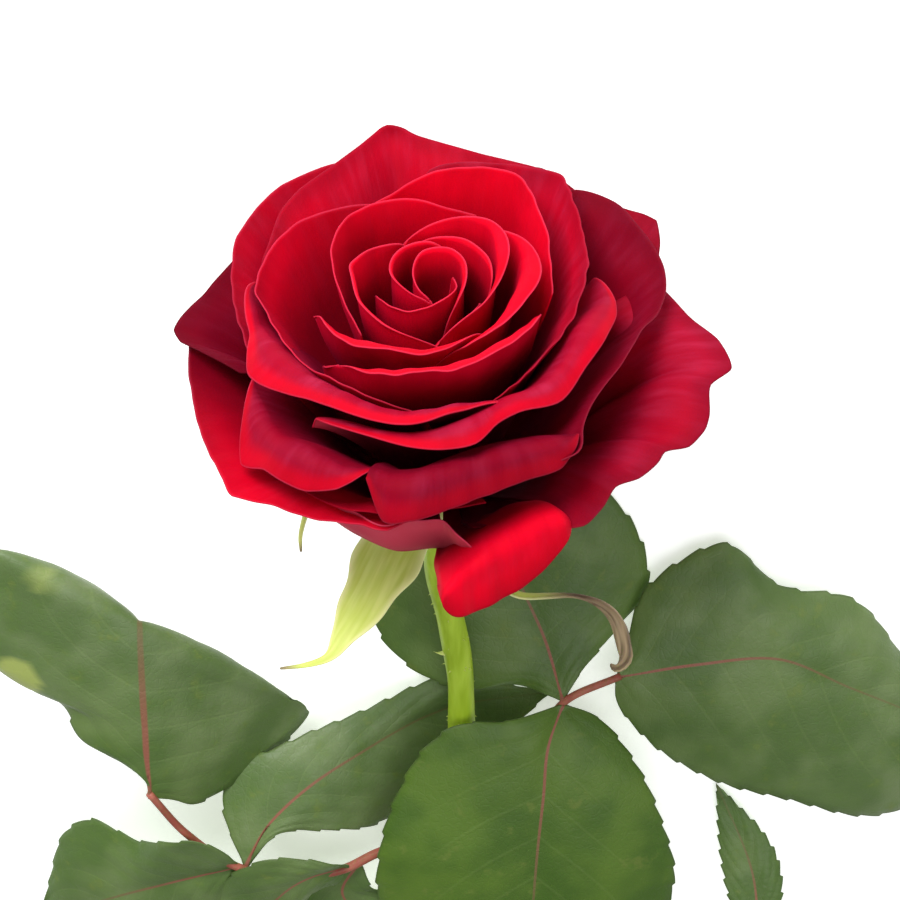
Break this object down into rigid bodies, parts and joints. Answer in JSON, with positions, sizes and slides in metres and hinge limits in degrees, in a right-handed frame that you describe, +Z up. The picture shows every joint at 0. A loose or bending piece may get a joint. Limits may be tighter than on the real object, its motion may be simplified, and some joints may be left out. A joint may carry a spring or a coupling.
{
  "type": "cut rose",
  "caption": "Cut rose lying on a table: an open layered bloom with rolled petals, a calyx, a prickly stem and compound leaves with toothed leaflets.",
  "frame": {"origin": "bottom centre of the rose's bounding box, on the surface that it lies on", "axes": "+Z up from the surface; +Y along the stem towards the bloom; +X across it"},
  "size_m": [0.2272, 0.396, 0.0867],
  "materials": {
    "petal_red": "velvety deep red petal, darker at its rim",
    "calyx_green": "soft satin light green",
    "stem_green": "satin green bark with pale prickles",
    "leaf_green": "satin dark green leaf with red-brown midribs"
  },
  "bodies": {
    "root": {"bloom": "petal_red", "calyx": "calyx_green", "stem": "stem_green", "leaf_upper_right": "leaf_green", "leaf_upper_left": "leaf_green", "leaf_lower_right": "leaf_green", "leaf_lower_left": "leaf_green"}
  },
  "joints": []
}
